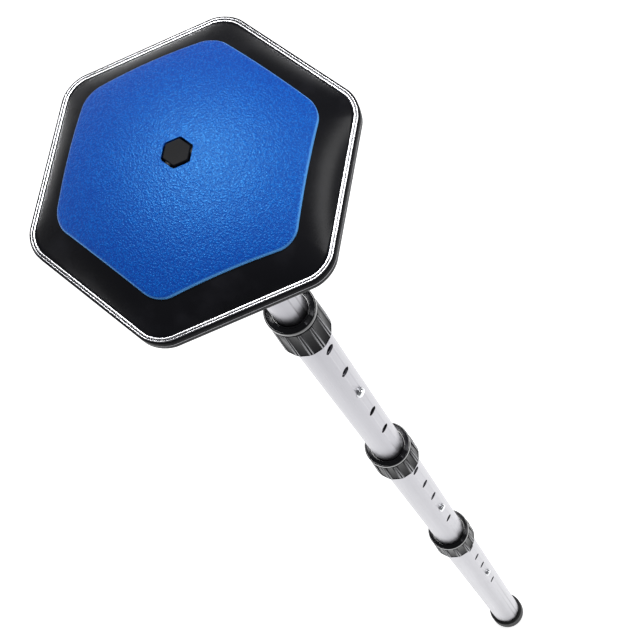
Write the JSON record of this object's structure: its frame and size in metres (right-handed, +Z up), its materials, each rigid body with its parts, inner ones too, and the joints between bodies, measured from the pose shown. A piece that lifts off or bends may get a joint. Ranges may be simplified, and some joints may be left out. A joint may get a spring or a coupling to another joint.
{
  "type": "telescoping cover support pole",
  "caption": "Telescoping aluminium pole with twist collars, snap buttons, a rubber foot and a domed hexagonal head with a soft pad, for holding up a cover.",
  "frame": {"origin": "centre of the foot's flat underside, on the floor", "axes": "+Z up the pole to the head; +X the side with the index holes and snap buttons"},
  "size_m": [0.1576, 0.153, 1.3327],
  "materials": {
    "foot_rubber": "matt moulded rubber",
    "inner_plastic": "plain moulded nylon",
    "aluminium": "satin, drawn and clear anodised",
    "natural_plastic": "natural acetal",
    "collar_gloss": "glossy moulded black",
    "spring_steel": "hard spring strip",
    "button_steel": "turned and plated",
    "tip_plastic": "glass filled nylon",
    "brass": "turned",
    "head_gloss": "glossy moulded black",
    "screw_steel": "zinc plated",
    "rim_bright": "bright polished",
    "pad_blue": "fine pebbled grain, soft sheen",
    "cap_matt": "matt moulded black"
  },
  "bodies": {
    "lower": {"foot_cap": "foot_rubber", "foot_plug": "inner_plastic", "lower_tube": "aluminium", "lower_ferrule": "inner_plastic", "lower_collet": "natural_plastic"},
    "lower_collar": {"lower_collar": "collar_gloss"},
    "middle": {"middle_tube": "aluminium", "middle_ferrule": "inner_plastic", "middle_collet": "natural_plastic", "middle_guide_bush": "natural_plastic", "middle_spring_clip": "spring_steel"},
    "middle_collar": {"middle_collar": "collar_gloss"},
    "middle_button": {"middle_snap_button": "button_steel"},
    "upper": {"upper_tube": "aluminium", "upper_ferrule": "inner_plastic", "upper_collet": "natural_plastic", "upper_guide_bush": "natural_plastic", "upper_spring_clip": "spring_steel"},
    "upper_collar": {"upper_collar": "collar_gloss"},
    "upper_button": {"upper_snap_button": "button_steel"},
    "top": {"top_tube": "aluminium", "top_guide_bush": "natural_plastic", "top_spring_clip": "spring_steel", "threaded_tip": "tip_plastic", "tip_pin": "button_steel"},
    "top_button": {"top_snap_button": "button_steel"},
    "lock_knob": {"lock_knob": "collar_gloss"},
    "head": {"thread_insert": "brass", "head_hub": "inner_plastic", "base_plate": "head_gloss", "base_screws": "screw_steel", "head_shell": "head_gloss", "rim_trim": "rim_bright", "grip_pad": "pad_blue", "head_screw": "screw_steel", "centre_cap": "cap_matt"}
  },
  "joints": [
    {"name": "middle_slide", "type": "slide", "parent": "lower", "child": "middle", "axis": [0, 0, 1], "range_m": [-0.2757, 0.132], "deforming": ["middle_snap_button"]},
    {"name": "upper_slide", "type": "slide", "parent": "middle", "child": "upper", "axis": [0, 0, 1], "range_m": [-0.2597, 0.132], "deforming": ["upper_snap_button"]},
    {"name": "top_slide", "type": "slide", "parent": "upper", "child": "top", "axis": [0, 0, 1], "range_m": [-0.1537, 0.088], "deforming": ["top_snap_button"]},
    {"name": "lower_collar_twist", "type": "hinge", "parent": "lower", "child": "lower_collar", "pos_m": [0, 0, 0.501], "axis": [0, 0, 1], "range_deg": [0, 270]},
    {"name": "middle_collar_twist", "type": "hinge", "parent": "middle", "child": "middle_collar", "pos_m": [0, 0, 0.815], "axis": [0, 0, 1], "range_deg": [0, 270]},
    {"name": "upper_collar_twist", "type": "hinge", "parent": "upper", "child": "upper_collar", "pos_m": [0, 0, 1.113], "axis": [0, 0, 1], "range_deg": [0, 270]},
    {"name": "middle_button_press", "type": "slide", "parent": "middle", "child": "middle_button", "axis": [-1, 0, 0], "range_m": [0, 0.0038], "stiffness_N_per_m": 900, "springref_m": -0.003, "deforming": ["middle_spring_clip"]},
    {"name": "upper_button_press", "type": "slide", "parent": "upper", "child": "upper_button", "axis": [-1, 0, 0], "range_m": [0, 0.0038], "stiffness_N_per_m": 900, "springref_m": -0.003, "deforming": ["upper_spring_clip"]},
    {"name": "top_button_press", "type": "slide", "parent": "top", "child": "top_button", "axis": [-1, 0, 0], "range_m": [0, 0.0038], "stiffness_N_per_m": 900, "springref_m": -0.003, "deforming": ["top_spring_clip"]},
    {"name": "lock_knob_turn", "type": "hinge", "parent": "top", "child": "lock_knob", "pos_m": [0, 0, 1.2957], "axis": [0, 0, 1], "range_deg": [-30, 150]},
    {"name": "head_turn", "type": "hinge", "parent": "top", "child": "head", "pos_m": [0, 0, 1.31], "axis": [0, 0, 1], "range_deg": [-180, 180]}
  ]
}
